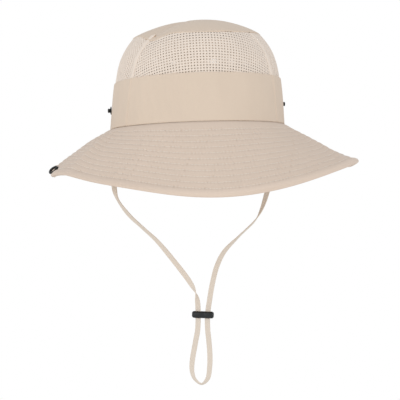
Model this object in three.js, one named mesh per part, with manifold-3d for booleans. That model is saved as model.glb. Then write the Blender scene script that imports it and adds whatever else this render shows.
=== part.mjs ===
// Boonie hat with a vented crown, a topstitched brim whose sides fold up onto snaps,
// and a chin strap with a sliding toggle.
// Millimetres, +Z up. The origin is the centre of the head opening, in the plane of the
// crown and brim seam. The front of the hat faces -Y and +X is to the right.
import * as THREE from 'three';
import { mergeVertices } from 'three/addons/utils/BufferGeometryUtils.js';
import Module from 'manifold-3d';

const wasm = await Module();
wasm.setup();

// ---- driving dimensions -------------------------------------------------------------

// Head opening: an ellipse, wider from front to back.
const OPENING_HALF_X = 87.5;
const OPENING_HALF_Y = 102;

// Crown: half widths along X at heights above the brim seam.
const CROWN_PROFILE = [
  [87.5, 0], [85.6, 24], [83.3, 46], [78.6, 66], [67.8, 86],
];
const DOME_PROFILE = [
  [67.8, 86], [57.6, 92.6], [44, 98.9], [23.7, 104.8], [0, 107.1],
];
// The soft crown leans a little to the right: this much along X for each unit of height.
const CROWN_LEAN = 0.03;
const BAND_TOP = 46;
const TOP_SEAM = 86;
const CLOTH = 1.2;
const SEAM_GAP = 0.4;
// The crown's two side seams, between its front and back cloth, stand at this Y.
const SIDE_SEAM_Y = -55;

// Crown trims on the inside.
const LAYER_GAP = 0.3;
// The band tape spans its seam; the top tape hangs between two depths below its seam.
const TAPE_THICKNESS = 0.6;
const TAPE_BELOW_SEAM = 4;
const TAPE_ABOVE_SEAM = 8;
const TOP_TAPE_LOW = 12;
const TOP_TAPE_HIGH = 1;
const SWEATBAND_BOTTOM = 1;
const SWEATBAND_TOP = 34;
const SWEATBAND_THICKNESS = 1.4;
const SWEATBAND_INSET = 3.7;

// Brim: slopes down from the seam to an elliptical edge that dips at the front and back.
// It hangs steeper on the left than on the right, so its edge is centred to the right.
const ROOT_GAP = 0.2;
const EDGE_HALF_X = 155;
const EDGE_HALF_Y = 141;
const EDGE_OFFSET_X = 6.5;
const EDGE_DROP_SIDE = 39.5;
const EDGE_DIP_FRONT = 30.5;
const EDGE_DIP_BACK = 14;
const EDGE_DIP_POWER = 3;
const SKIN = 0.7;
const INTERLINING = 1;
const BRIM_THICKNESS = 2 * SKIN + INTERLINING + 2 * LAYER_GAP;

// Fold lines of the brim's sides, and the snaps that hold them up: distances from the
// seam along the brim's upper face.
const SIDES = {
  left: {
    sign: -1, angle: Math.PI, foldDistance: 27, socketDistance: 66.5, studHeight: 19.5,
  },
  right: {
    sign: 1, angle: 0, foldDistance: 31.3, socketDistance: 74.5, studHeight: 22,
  },
};
const FOLD_HALF_GAP = 1.8;
const STUD_RADIUS = 4.2;
const EYELET_RADIUS = 4.5;
const SNAP_GAP = 0.5;

// Chin strap: flat tape, hinged about the line through its two ends.
const TAPE_HALF_WIDTH = 2.65;
const TAPE_HALF_THICKNESS = 0.5;
const TAPE_CHAMFER = 0.3;
const STRAP_STEPS = 76;
const STRAP_ROUTE = [
  [-83, -4.5], [-84.9, -27.3], [-85.3, -56.6], [-82.7, -68.4], [-72.1, -84.6], [-58, -98.8],
  [-44.6, -111.9], [-28.4, -132.3], [-12.3, -155], [-6.9, -165.9], [-5.3, -173.9], [-5, -186.3],
  [-6, -203.4], [-8.3, -214.3], [-12.7, -236.3], [-12.8, -245.7], [-10.2, -253], [-3.6, -257.9],
  [2.5, -252.8], [5, -240.5], [5.6, -229.5], [5, -214.8], [4.2, -203.7], [4.4, -189.7],
  [6.9, -174.3], [10.7, -155.9], [16.2, -138.2], [23.7, -125.1], [39.3, -110.1], [56.2, -94.5],
  [62.6, -84], [69, -66.4], [74.2, -47.3], [78.8, -26.5], [83, -4.5],
];

// Toggle: a bar with one slot for each leg of the strap.
const TOGGLE_CENTRE = [-0.2, -188.2];
const TOGGLE_LENGTH = 20.4;
const TOGGLE_HEIGHT = 6.8;
const TOGGLE_DEPTH = 6.6;
const TOGGLE_TILT = THREE.MathUtils.degToRad(4.3);
const SLOT_OFFSET = 4.75;
const SLOT_WIDTH = 7.5;
const SLOT_DEPTH = 2.2;
const TOGGLE_BEVEL = 0.8;

const ROUND_STEPS = 48;
const COLOURS = {
  cloth: 0xd9c7b2, mesh: 0xe3d6c8, brim: 0xd2c3b1, lining: 0xcdbfae,
  tape: 0xd6c8b8, snap: 0x3a3a38, toggle: 0x232a2a,
};

// ---- helpers ------------------------------------------------------------------------

const group = new THREE.Group();

function add(name, geometry, colour, roughness = 0.9, metalness = 0) {
  const material = new THREE.MeshStandardMaterial({ color: colour, roughness, metalness });
  const mesh = new THREE.Mesh(geometry, material);
  mesh.name = name;
  group.add(mesh);
  return mesh;
}

function toSolid(geometry) {
  const bare = geometry.clone();
  bare.deleteAttribute('normal');
  bare.deleteAttribute('uv');
  const welded = mergeVertices(bare, 1e-4);
  return new wasm.Manifold(new wasm.Mesh({
    numProp: 3,
    vertProperties: new Float32Array(welded.attributes.position.array),
    triVerts: new Uint32Array(welded.index.array),
  }));
}

function toGeometry(solid) {
  const mesh = solid.getMesh();
  const geometry = new THREE.BufferGeometry();
  geometry.setAttribute('position', new THREE.BufferAttribute(mesh.vertProperties, 3));
  geometry.setIndex(new THREE.BufferAttribute(mesh.triVerts, 1));
  geometry.computeVertexNormals();
  return geometry;
}

// Further out than any part of the hat, for the boxes that cut it.
const FAR = 300;

function box(lowX, highX, lowY, highY, lowZ, highZ) {
  const geometry = new THREE.BoxGeometry(highX - lowX, highY - lowY, highZ - lowZ);
  return geometry.translate((lowX + highX) / 2, (lowY + highY) / 2, (lowZ + highZ) / 2);
}

// Half width of a profile at a height, along straight runs between its points.
function widthAt(profile, height) {
  const next = profile.findIndex(([, z]) => z >= height);
  if (next === 0) return profile[0][0];
  if (next < 0) return profile[profile.length - 1][0];
  const [w0, z0] = profile[next - 1];
  const [w1, z1] = profile[next];
  return w0 + ((w1 - w0) * (height - z0)) / (z1 - z0);
}

// Turns a shape revolved about Y into part of the crown: revolved about Z, stretched
// from front to back, and leaning to the right.
function toCrown(geometry) {
  geometry.rotateX(Math.PI / 2);
  geometry.scale(1, OPENING_HALF_Y / OPENING_HALF_X, 1);
  return geometry.applyMatrix4(new THREE.Matrix4().makeShear(0, 0, 0, 0, CROWN_LEAN, 0));
}

// A closed ring of cloth between two heights. Its wall keeps the same thickness along X.
function ring(bottom, top, inset, thickness) {
  const heights = [bottom, ...CROWN_PROFILE.map(([, z]) => z), top]
    .filter((z) => z >= bottom && z <= top)
    .sort((a, b) => a - b)
    .filter((z, i, all) => i === 0 || z - all[i - 1] > 0.5 || z === top);
  const outer = heights.map((z) => new THREE.Vector2(widthAt(CROWN_PROFILE, z) - inset, z));
  const inner = outer.map((p) => new THREE.Vector2(p.x - thickness, p.y)).reverse();
  const outline = [...outer, ...inner, outer[0].clone()];
  return toCrown(new THREE.LatheGeometry(outline, ROUND_STEPS));
}

function frontHalf(geometry, gap) {
  return toSolid(geometry).intersect(toSolid(box(-FAR, FAR, -FAR, SIDE_SEAM_Y - gap / 2, -FAR, FAR)));
}

function backHalf(geometry, gap) {
  return toSolid(geometry).intersect(toSolid(box(-FAR, FAR, SIDE_SEAM_Y + gap / 2, FAR, -FAR, FAR)));
}

// ---- crown --------------------------------------------------------------------------

// The tip of the crown: a shallow dome of cloth.
function crownTopPanel() {
  const lift = SEAM_GAP;
  const outer = DOME_PROFILE.map(([x, z]) => new THREE.Vector2(x, z + lift));
  const inner = DOME_PROFILE.map(([x, z], i) => {
    const onAxis = i === DOME_PROFILE.length - 1;
    return new THREE.Vector2(onAxis ? 0 : x - CLOTH, z + lift - (i === 0 ? 0 : CLOTH));
  }).reverse();
  return toCrown(new THREE.LatheGeometry([...inner, ...outer], ROUND_STEPS));
}

add('crown_top_panel', crownTopPanel(), COLOURS.cloth);

const meshBand = ring(BAND_TOP + SEAM_GAP, TOP_SEAM, 0, CLOTH);
add('crown_mesh_front', toGeometry(frontHalf(meshBand, SEAM_GAP)), COLOURS.mesh);
add('crown_mesh_back', toGeometry(backHalf(meshBand, SEAM_GAP)), COLOURS.mesh);

const clothBand = ring(SEAM_GAP, BAND_TOP, 0, CLOTH);
add('crown_band_front', toGeometry(frontHalf(clothBand, SEAM_GAP)), COLOURS.cloth);
add('crown_band_back', toGeometry(backHalf(clothBand, SEAM_GAP)), COLOURS.cloth);

const tapeInset = CLOTH + LAYER_GAP;
add(
  'band_seam_tape',
  ring(BAND_TOP - TAPE_BELOW_SEAM, BAND_TOP + TAPE_ABOVE_SEAM, tapeInset, TAPE_THICKNESS),
  COLOURS.lining,
);
add(
  'top_seam_tape',
  ring(TOP_SEAM - TOP_TAPE_LOW, TOP_SEAM - TOP_TAPE_HIGH, tapeInset, TAPE_THICKNESS),
  COLOURS.lining,
);
add(
  'sweatband',
  ring(SWEATBAND_BOTTOM, SWEATBAND_TOP, SWEATBAND_INSET, SWEATBAND_THICKNESS),
  COLOURS.lining,
);

// ---- brim ---------------------------------------------------------------------------

// Height of the brim's edge at an angle, where sine is +1 at the back and -1 at the front.
function edgeHeight(sine) {
  const dip = sine < 0 ? EDGE_DIP_FRONT : EDGE_DIP_BACK;
  return -(EDGE_DROP_SIDE + dip * Math.abs(sine) ** EDGE_DIP_POWER);
}

// A point on the brim's upper face: angle around, and share of the way from seam to edge.
function brimPoint(angle, share) {
  const c = Math.cos(angle);
  const s = Math.sin(angle);
  return new THREE.Vector3(
    THREE.MathUtils.lerp(OPENING_HALF_X + ROOT_GAP, EDGE_HALF_X, share) * c
      + EDGE_OFFSET_X * share,
    THREE.MathUtils.lerp(OPENING_HALF_Y + ROOT_GAP, EDGE_HALF_Y, share) * s,
    edgeHeight(s) * share,
  );
}

function brimNormal(angle, share) {
  const h = 1e-3;
  const around = brimPoint(angle + h, share).sub(brimPoint(angle - h, share));
  const outward = brimPoint(angle, share + h).sub(brimPoint(angle, share - h));
  return outward.cross(around).normalize();
}

// One layer of the brim: a closed sheet between two depths below the upper face.
function brimLayer(depthTop, depthBottom) {
  const shares = [0, 0.35, 0.7, 1];
  const loops = [
    ...shares.map((share) => [share, depthTop]),
    ...[...shares].reverse().map((share) => [share, depthBottom]),
  ];
  const positions = [];
  const indices = [];
  for (let i = 0; i < ROUND_STEPS; i += 1) {
    const angle = (i / ROUND_STEPS) * Math.PI * 2;
    for (const [share, depth] of loops) {
      const p = brimPoint(angle, share).addScaledVector(brimNormal(angle, share), -depth);
      positions.push(p.x, p.y, p.z);
    }
  }
  const row = loops.length;
  for (let i = 0; i < ROUND_STEPS; i += 1) {
    const here = i * row;
    const there = ((i + 1) % ROUND_STEPS) * row;
    // Both faces split their quads along the same diagonal, so that the layers nest.
    for (let j = 0; j < row; j += 1) {
      const k = (j + 1) % row;
      if (j < shares.length) {
        indices.push(here + j, here + k, there + k, here + j, there + k, there + j);
      } else {
        indices.push(here + j, here + k, there + j, here + k, there + k, there + j);
      }
    }
  }
  const geometry = new THREE.BufferGeometry();
  geometry.setAttribute('position', new THREE.Float32BufferAttribute(positions, 3));
  geometry.setIndex(indices);
  geometry.computeVertexNormals();
  return geometry;
}

// A distance from the seam, along the upper face in the middle of a side, as a share.
function sideShare(side, distance) {
  return distance / brimPoint(side.angle, 1).distanceTo(brimPoint(side.angle, 0));
}

// Where the brim's sides fold: a vertical cut on each side, along Y.
const foldX = {};
for (const [label, side] of Object.entries(SIDES)) {
  foldX[label] = brimPoint(side.angle, sideShare(side, side.foldDistance)).x;
}

const brimLayers = [
  ['brim_upper', 0, SKIN, COLOURS.brim],
  ['brim_interlining', SKIN + LAYER_GAP, SKIN + LAYER_GAP + INTERLINING, COLOURS.lining],
  ['brim_lower', BRIM_THICKNESS - SKIN, BRIM_THICKNESS, COLOURS.brim],
];
const brimParts = [
  ['center', foldX.left + FOLD_HALF_GAP, foldX.right - FOLD_HALF_GAP],
  ['left', -FAR, foldX.left - FOLD_HALF_GAP],
  ['right', foldX.right + FOLD_HALF_GAP, FAR],
];
for (const [layerName, top, bottom, colour] of brimLayers) {
  const layer = toSolid(brimLayer(top, bottom));
  for (const [partName, lowX, highX] of brimParts) {
    const region = toSolid(box(lowX, highX, -FAR, FAR, -FAR, FAR));
    add(`${layerName}_${partName}`, toGeometry(layer.intersect(region)), colour);
  }
}

// ---- snaps --------------------------------------------------------------------------

// Profiles are [radius, height] from the cloth outwards, revolved about Y.
const STUD_PROFILE = [
  [0, 0], [STUD_RADIUS, 0], [STUD_RADIUS, 0.7], [3.4, 1.2], [2.2, 1.4], [1.8, 2.2], [2.2, 2.9],
  [1.7, 3.7], [0, 3.9],
];
const SOCKET_PROFILE = [
  [2.9, 0], [5.5, 0], [5.5, 0.9], [4.8, 1.7], [3.9, 1.9], [3, 1.5], [2.9, 0],
];
const CAP_PROFILE = [[0, 0], [5.5, 0], [5.2, 0.8], [3.6, 1.3], [0, 1.5]];
const EYELET_PROFILE = [
  [1.6, 0], [EYELET_RADIUS, 0], [EYELET_RADIUS, 0.6], [1.6, 0.6], [1.6, 0],
];
const SNAP_STEPS = 16;

function snapPiece(name, profile, place, direction) {
  const points = profile.map(([r, h]) => new THREE.Vector2(r, h));
  const piece = add(name, new THREE.LatheGeometry(points, SNAP_STEPS), COLOURS.snap, 0.4, 0.9);
  piece.position.copy(place);
  piece.quaternion.setFromUnitVectors(new THREE.Vector3(0, 1, 0), direction);
}

// Distance of the crown's outer wall from the YZ plane, in the middle of a side.
function wallAt(side, height) {
  return widthAt(CROWN_PROFILE, height) + side.sign * CROWN_LEAN * height;
}

function snapPair(label) {
  const side = SIDES[label];
  const out = new THREE.Vector3(side.sign, 0, 0);
  const heights = [side.studHeight - EYELET_RADIUS, side.studHeight + EYELET_RADIUS];
  const walls = heights.map((z) => wallAt(side, z));
  const studX = Math.max(...walls) + LAYER_GAP;
  const eyeletX = Math.min(...walls) - CLOTH - LAYER_GAP;
  const studBase = new THREE.Vector3(side.sign * studX, 0, side.studHeight);
  const eyeletBase = new THREE.Vector3(side.sign * eyeletX, 0, side.studHeight);
  snapPiece(`crown_stud_${label}`, STUD_PROFILE, studBase, out);
  snapPiece(`stud_eyelet_${label}`, EYELET_PROFILE, eyeletBase, out.clone().negate());

  const share = sideShare(side, side.socketDistance);
  const normal = brimNormal(side.angle, share);
  const face = brimPoint(side.angle, share);
  const socketBase = face.clone().addScaledVector(normal, SNAP_GAP);
  snapPiece(`brim_socket_${label}`, SOCKET_PROFILE, socketBase, normal);
  const capBase = face.clone().addScaledVector(normal, -BRIM_THICKNESS - SNAP_GAP);
  snapPiece(`socket_cap_${label}`, CAP_PROFILE, capBase, normal.clone().negate());
}

snapPair('left');
snapPair('right');

// ---- chin strap and toggle ----------------------------------------------------------

function chinStrap() {
  const route = new THREE.CatmullRomCurve3(
    STRAP_ROUTE.map(([x, z]) => new THREE.Vector3(x, 0, z)), false, 'centripetal',
  );
  const w = TAPE_HALF_WIDTH;
  const t = TAPE_HALF_THICKNESS;
  // The section's first axis lies along Y, so the tape's flat sides face front and back.
  const section = new THREE.Shape([
    new THREE.Vector2(-t, -w + TAPE_CHAMFER), new THREE.Vector2(-t + TAPE_CHAMFER, -w),
    new THREE.Vector2(t - TAPE_CHAMFER, -w), new THREE.Vector2(t, -w + TAPE_CHAMFER),
    new THREE.Vector2(t, w - TAPE_CHAMFER), new THREE.Vector2(t - TAPE_CHAMFER, w),
    new THREE.Vector2(-t + TAPE_CHAMFER, w), new THREE.Vector2(-t, w - TAPE_CHAMFER),
  ]);
  return new THREE.ExtrudeGeometry(section, {
    steps: STRAP_STEPS, bevelEnabled: false, extrudePath: route,
  });
}

add('chin_strap', chinStrap(), COLOURS.tape);

// A bar with round ends, bevelled at the top and bottom, and two slots through its height.
function strapToggle() {
  const bevel = TOGGLE_BEVEL;
  const half = TOGGLE_LENGTH / 2 - bevel;
  const radius = TOGGLE_DEPTH / 2 - bevel;
  const outline = new THREE.Shape();
  outline.moveTo(-half + radius, -radius);
  outline.lineTo(half - radius, -radius);
  outline.absarc(half - radius, 0, radius, -Math.PI / 2, Math.PI / 2, false);
  outline.lineTo(-half + radius, radius);
  outline.absarc(-half + radius, 0, radius, Math.PI / 2, (3 * Math.PI) / 2, false);
  const geometry = new THREE.ExtrudeGeometry(outline, {
    depth: TOGGLE_HEIGHT - 2 * bevel,
    bevelEnabled: true,
    bevelThickness: bevel,
    bevelSize: bevel,
    bevelSegments: 2,
    curveSegments: 8,
  });
  let bar = toSolid(geometry.translate(0, 0, -TOGGLE_HEIGHT / 2 + bevel));
  for (const side of [-1, 1]) {
    const middle = side * SLOT_OFFSET;
    const slot = box(
      middle - SLOT_WIDTH / 2, middle + SLOT_WIDTH / 2,
      -SLOT_DEPTH / 2, SLOT_DEPTH / 2, -TOGGLE_HEIGHT, TOGGLE_HEIGHT,
    );
    bar = bar.subtract(toSolid(slot));
  }
  return toGeometry(bar);
}

const toggle = add('strap_toggle', strapToggle(), COLOURS.toggle, 0.5);
toggle.position.set(TOGGLE_CENTRE[0], 0, TOGGLE_CENTRE[1]);
toggle.rotation.y = TOGGLE_TILT;

export default group;
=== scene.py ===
"""Boonie hat: its looks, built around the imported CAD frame.

Metres, +Z up. The origin is the centre of the head opening, the front faces -Y.
"""
import math

import bmesh
import bpy
import numpy as np
from mathutils import Matrix, Vector


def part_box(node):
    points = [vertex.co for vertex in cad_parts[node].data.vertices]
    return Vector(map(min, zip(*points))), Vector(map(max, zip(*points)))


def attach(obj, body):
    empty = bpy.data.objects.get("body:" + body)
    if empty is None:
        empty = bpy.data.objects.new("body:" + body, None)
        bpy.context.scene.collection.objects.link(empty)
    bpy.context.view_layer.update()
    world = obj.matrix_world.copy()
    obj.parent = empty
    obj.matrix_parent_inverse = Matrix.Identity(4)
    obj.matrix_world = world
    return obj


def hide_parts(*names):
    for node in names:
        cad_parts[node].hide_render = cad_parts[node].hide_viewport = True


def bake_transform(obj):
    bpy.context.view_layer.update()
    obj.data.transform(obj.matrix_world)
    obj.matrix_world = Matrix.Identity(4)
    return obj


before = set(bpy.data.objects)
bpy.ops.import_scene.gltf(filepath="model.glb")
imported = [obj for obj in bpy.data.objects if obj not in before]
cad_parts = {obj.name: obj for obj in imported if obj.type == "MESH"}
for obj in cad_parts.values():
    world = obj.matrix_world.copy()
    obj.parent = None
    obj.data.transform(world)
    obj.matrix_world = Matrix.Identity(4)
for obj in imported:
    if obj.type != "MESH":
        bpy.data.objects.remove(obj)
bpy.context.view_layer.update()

MM = 0.001

# ---- sizes read from the frame --------------------------------------------------------

BAND_LOW, BAND_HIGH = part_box("crown_band_front")
MESH_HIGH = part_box("crown_mesh_front")[1]
TOP_LOW, TOP_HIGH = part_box("crown_top_panel")
BRIM_LOW_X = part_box("brim_upper_left")[0][0]
BRIM_HIGH_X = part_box("brim_upper_right")[1][0]
BRIM_CENTER_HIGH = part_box("brim_upper_center")[1]

OPENING_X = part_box("crown_band_back")[1][0]
OPENING_Y = -BAND_LOW[1]
ASPECT = OPENING_Y / OPENING_X
BAND_TOP = BAND_HIGH[2]
TOP_SEAM = MESH_HIGH[2]
TOP_HALF_X = (TOP_HIGH[0] - TOP_LOW[0]) / 2
CROWN_LEAN = (TOP_HIGH[0] + TOP_LOW[0]) / 2 / TOP_SEAM

EDGE_X = (BRIM_HIGH_X - BRIM_LOW_X) / 2
EDGE_OFFSET_X = (BRIM_HIGH_X + BRIM_LOW_X) / 2
EDGE_Y = BRIM_CENTER_HIGH[1]
# The brim's slope and dips are the design's own.
EDGE_DROP = 39.5 * MM
DIP_FRONT = 30.5 * MM
DIP_BACK = 14 * MM
DIP_POWER = 3
BRIM_THICKNESS = 3 * MM
BRIM_LENGTH = math.hypot(EDGE_X - OPENING_X, EDGE_DROP)

SIDE_SEAM_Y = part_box("crown_band_front")[1][1]
# Folds and slack cloth, as angles round the hat, counted from the right by way of the back.
FRONT_FOLD = math.radians(226)
CREASES = (math.radians(206.5), math.radians(333.5))
LOW_FRONT = math.radians(221)

# ---- mesh helpers ---------------------------------------------------------------------


def waves(a, b, count, low, high, seed):
    """A smooth field of that many sine waves, with about unit height."""
    rng = np.random.default_rng(seed)
    total = np.zeros(np.broadcast(a, b).shape)
    for _ in range(count):
        fa, fb = rng.uniform(low, high, 2) * rng.choice([-1, 1], 2)
        total = total + np.sin(fa * a + fb * b + rng.uniform(0, 2 * math.pi))
    return total / math.sqrt(count)


def mesh_from(name, points, faces, material, corner_uvs=None):
    mesh = bpy.data.meshes.new(name)
    mesh.from_pydata(np.asarray(points).reshape(-1, 3).tolist(), [], [list(f) for f in faces])
    if corner_uvs is not None:
        layer = mesh.uv_layers.new(name="cloth")
        layer.data.foreach_set("uv", np.asarray(corner_uvs, float).reshape(-1))
    mesh.materials.append(material)
    mesh.shade_smooth()
    piece = bpy.data.objects.new(name, mesh)
    bpy.context.scene.collection.objects.link(piece)
    return piece


def clean(piece, weld=2e-6):
    """Welds doubled points, turns every face outwards and keeps flat ends crisp."""
    shape = bmesh.new()
    shape.from_mesh(piece.data)
    bmesh.ops.remove_doubles(shape, verts=shape.verts, dist=weld)
    bmesh.ops.dissolve_degenerate(shape, edges=shape.edges, dist=1e-7)
    bmesh.ops.recalc_face_normals(shape, faces=shape.faces)
    for face in shape.faces:
        if len(face.verts) > 8:
            face.smooth = False
            for edge in face.edges:
                edge.smooth = False
    shape.to_mesh(piece.data)
    shape.free()
    return piece


def sweep(name, points, material, closed=False):
    """A solid swept through rows of a closed outline. points is (rows, outline, 3).

    Without closed, the first and the last row are capped."""
    rows, ring = points.shape[:2]
    around = np.zeros((rows + 1, ring))
    steps = np.linalg.norm(np.roll(points, -1, 0) - points, axis=2)
    around[1:] = np.cumsum(steps, 0)
    along = np.zeros((rows, ring + 1))
    along[:, 1:] = np.cumsum(np.linalg.norm(np.roll(points, -1, 1) - points, axis=2), 1)
    faces, uvs = [], []
    last = rows if closed else rows - 1
    for i in range(last):
        n = (i + 1) % rows
        for j in range(ring):
            k = (j + 1) % ring
            faces.append((i * ring + j, n * ring + j, n * ring + k, i * ring + k))
            u0, u1 = around[i, j], around[i + 1, j]
            v0, v1 = along[i, j], along[i, j + 1]
            uvs += [(u0, v0), (u1, v0), (u1, v1), (u0, v1)]
    if not closed:
        for i in (0, rows - 1):
            faces.append(tuple(i * ring + j for j in range(ring)))
            uvs += [(0, v) for v in along[i, :ring]]
    return clean(mesh_from(name, points, faces, material, uvs))


def lathe(name, profile, steps, material, place, direction):
    """Revolves [radius, height] about the direction through place, closed at both ends."""
    turn = Vector((0, 0, 1)).rotation_difference(Vector(direction)).to_matrix()
    basis = np.array(turn)
    points = []
    for i in range(steps):
        angle = 2 * math.pi * i / steps
        points.append([(r * math.cos(angle), r * math.sin(angle), h) for r, h in profile])
    points = np.array(points) * MM
    points = points @ basis.T + np.array(place)
    return sweep(name, points, material, closed=True)


def round_profile(profile):
    """Cuts the corners of an open profile twice, so that the turned shape has soft edges."""
    line = np.array(profile, float)
    for _ in range(2):
        near = 0.75 * line[:-1] + 0.25 * line[1:]
        far = 0.25 * line[:-1] + 0.75 * line[1:]
        inner = np.stack([near, far], 1).reshape(-1, 2)
        line = np.vstack([line[:1], inner, line[-1:]])
    return line.tolist()


# ---- surfaces of the hat --------------------------------------------------------------


CROWN_TAPER = 0.075
SHOULDER_POWER = 4.6
LEAN_REACH = 78 * MM
SEAM_RISE = 4 * MM
SEAM_SAG = 7 * MM

TWIST_FROM = 0.35
LEFT_TWIST, LEFT_TWIST_CHANGE, RIGHT_TWIST = 0.19, 0.11, -0.11
TWIST_REACH_FRONT, TWIST_REACH_BACK = 40 * MM, 26 * MM
LEFT_PINCH, PINCH_REACH = 0.28, 9 * MM
TIP_FROM, TIP_TO = 0.74, 0.92
TIP_DROOP = 1 * MM
FRONT_SLACK = 3 * MM
RIDGE_HEIGHT, RIDGE_TURN = 3 * MM, 0.04


def bell(distance, reach):
    """One in the middle, about a third at the reach, and nothing past twice the reach."""
    return np.exp(-(distance / reach) ** 2)


def ease(start, end, value):
    """Rises smoothly from 0 at start to 1 at end."""
    share = np.clip((value - start) / (end - start), 0, 1)
    return share * share * (3 - 2 * share)


def crown_half(z):
    """Half width of the crown along X at a height above the brim seam."""
    share = np.clip(z, 0, None) / TOP_SEAM
    shoulder = OPENING_X - TOP_HALF_X - CROWN_TAPER * TOP_SEAM
    return OPENING_X - CROWN_TAPER * z - shoulder * share ** SHOULDER_POWER


def lean(z):
    """How far the crown leans to the right at a height."""
    return CROWN_LEAN * LEAN_REACH * np.tanh(np.clip(z, 0, None) / LEAN_REACH)


def turn_between(angle, other):
    return np.angle(np.exp(1j * (angle - other)))


def top_seam(angle):
    """Height of the seam around the top, which sags in one soft fold at the front left."""
    fold = bell(turn_between(angle, FRONT_FOLD), 0.2)
    return TOP_SEAM + SEAM_RISE * np.cos(angle) ** 2 - SEAM_SAG * fold


def crown_points(angle, z, inset=0.0):
    half = crown_half(z) - inset
    x = half * np.cos(angle) + lean(z)
    y = half * ASPECT * np.sin(angle)
    return np.stack(np.broadcast_arrays(x, y, z), -1)


def crown_creases(angle, z):
    """Soft rumples of the crown's cloth, in metres."""
    height = np.clip(z / TOP_SEAM, 0, 1)
    c, s = np.cos(angle), np.sin(angle)
    soft = waves(c * 3 + s, s * 3 + z * 22, 5, 0.6, 2.0, 11) * 0.5 * MM
    upright = waves(c * 16, s * 16 + z * 26, 7, 0.5, 1.5, 12) * 0.35 * MM
    slanted = waves(c * 30 + z * 60, s * 30 - z * 50, 7, 0.5, 1.5, 13) * 0.13 * MM
    hold = np.sin(math.pi * np.clip(height, 0.02, 0.98)) ** 0.5 * (1 - c ** 40)
    slump = bell(turn_between(angle, FRONT_FOLD), 0.16) * 1.6 * MM
    slump = slump * bell(z - TOP_SEAM, 16 * MM)
    return (soft + upright + slanted) * hold - slump


def crown_surface(angle, z, inset):
    return crown_points(angle, z, inset - crown_creases(angle, z))


def brim_wear(angle, share, y):
    """How far use has lifted the brim.

    The sides were folded up and down again. That left a ridge along each fold, turned the
    left tip down and towards the front, and the right tip a little the other way. The
    slope bows a little too, and the cloth hangs slack at the front left."""
    c = np.cos(angle)
    left = c < 0
    hump = np.sin(math.pi * np.clip(share, 0, 1))
    far = np.clip((share - TWIST_FROM) / (1 - TWIST_FROM), 0, 1) ** 1.5
    left_steep = LEFT_TWIST + LEFT_TWIST_CHANGE * np.tanh(y / (8 * MM))
    steep = np.where(left, left_steep, RIGHT_TWIST)
    turned = steep * y * bell(y, np.where(y < 0, TWIST_REACH_FRONT, TWIST_REACH_BACK))
    pinch = np.where(left, LEFT_PINCH, 0) * y * bell(y, PINCH_REACH)
    tip = ease(TIP_FROM, TIP_TO, share) * bell(y, 40 * MM)
    droop = np.where(left, -TIP_DROOP, 0) * tip * (1 - np.tanh((y - 9 * MM) / (6 * MM)))
    bow = -(0.5 + 2.4 * c) * c ** 2 * MM * hump
    slack = -FRONT_SLACK * bell(turn_between(angle, LOW_FRONT), 0.3) * share
    ridge = 0.0
    for crease in CREASES:
        off = turn_between(angle, crease) / RIDGE_TURN
        ridge = ridge + RIDGE_HEIGHT * np.exp(1 - np.sqrt(1 + off ** 2)) * hump
    return (turned + pinch) * far + droop + bow + slack + ridge


def brim_points(angle, share):
    """The brim's upper face. The share runs from the crown's seam to the edge."""
    c, s = np.cos(angle), np.sin(angle)
    dip = np.where(s < 0, DIP_FRONT, DIP_BACK)
    drop = EDGE_DROP + dip * np.abs(s) ** DIP_POWER
    x = (OPENING_X + (EDGE_X - OPENING_X) * share) * c + EDGE_OFFSET_X * share
    y = (OPENING_Y + (EDGE_Y - OPENING_Y) * share) * s
    z = brim_wear(angle, share, y) - drop * share
    return np.stack(np.broadcast_arrays(x, y, z), -1)


def brim_normals(angle, share):
    h = 1e-4
    around = brim_points(angle + h, share) - brim_points(angle - h, share)
    outward = brim_points(angle, share + h) - brim_points(angle, share - h)
    normal = np.cross(outward, around)
    return normal / np.linalg.norm(normal, axis=-1, keepdims=True)


FIRST_ROW = 0.114
ROW_STEP = 0.0775
ROW_SHARES = [FIRST_ROW + ROW_STEP * i for i in range(11)]
STITCH_PITCH = 3.1 * MM
GROOVE_DEPTH, GROOVE_WIDTH = 0.32 * MM, 0.8 * MM
NEEDLE_PULL = 0.36 * MM
HEM_FROM, HEM_PUFF = 0.9, 0.8 * MM


def row_runs():
    """For each stitch row: angles from the front both ways, and distances along the row."""
    angle = np.linspace(-math.pi, math.pi, 3001)
    runs = []
    for share in ROW_SHARES:
        line = brim_points(angle + 1.5 * math.pi, share)
        steps = np.linalg.norm(np.diff(line, axis=0), axis=1)
        run = np.concatenate([[0], np.cumsum(steps)])
        runs.append(run - run[len(run) // 2])
    return angle, np.array(runs)


ROW_ANGLES, ROW_RUNS = row_runs()


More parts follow.
